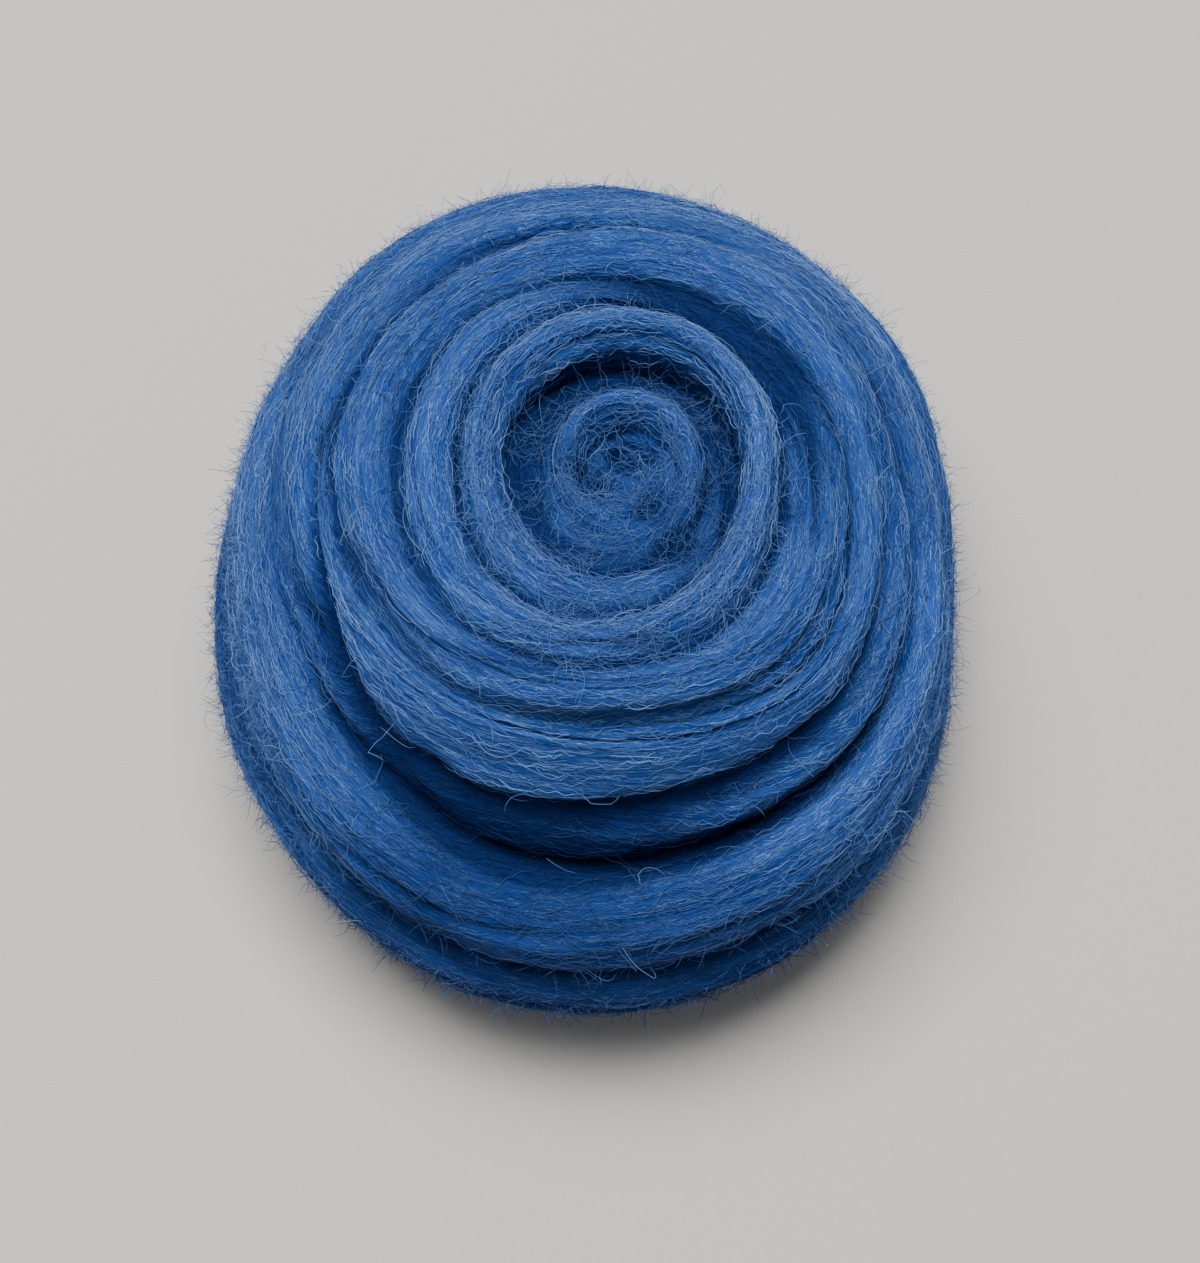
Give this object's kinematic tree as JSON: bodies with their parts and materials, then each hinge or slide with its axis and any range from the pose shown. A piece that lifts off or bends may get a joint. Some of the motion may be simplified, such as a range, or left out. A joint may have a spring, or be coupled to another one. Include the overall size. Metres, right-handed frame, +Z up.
{
  "type": "wool roving",
  "caption": "Soft ball of dyed wool roving, wound outwards clockwise from a small curl on top, with a flat spot underneath to rest on.",
  "frame": {"origin": "centre of the flat spot on the underside, on the ball's upright axis", "axes": "+Z up out of the curl on top, +Y along the ball's longer side, away from its deepest crevice"},
  "size_m": [0.1034, 0.1164, 0.0745],
  "materials": {
    "dyed_wool": "matt combed wool dyed mid blue, fine fibres lying along the strand, with a fuzzy surface"
  },
  "bodies": {
    "root": {"wound_roving": "dyed_wool"}
  },
  "joints": []
}
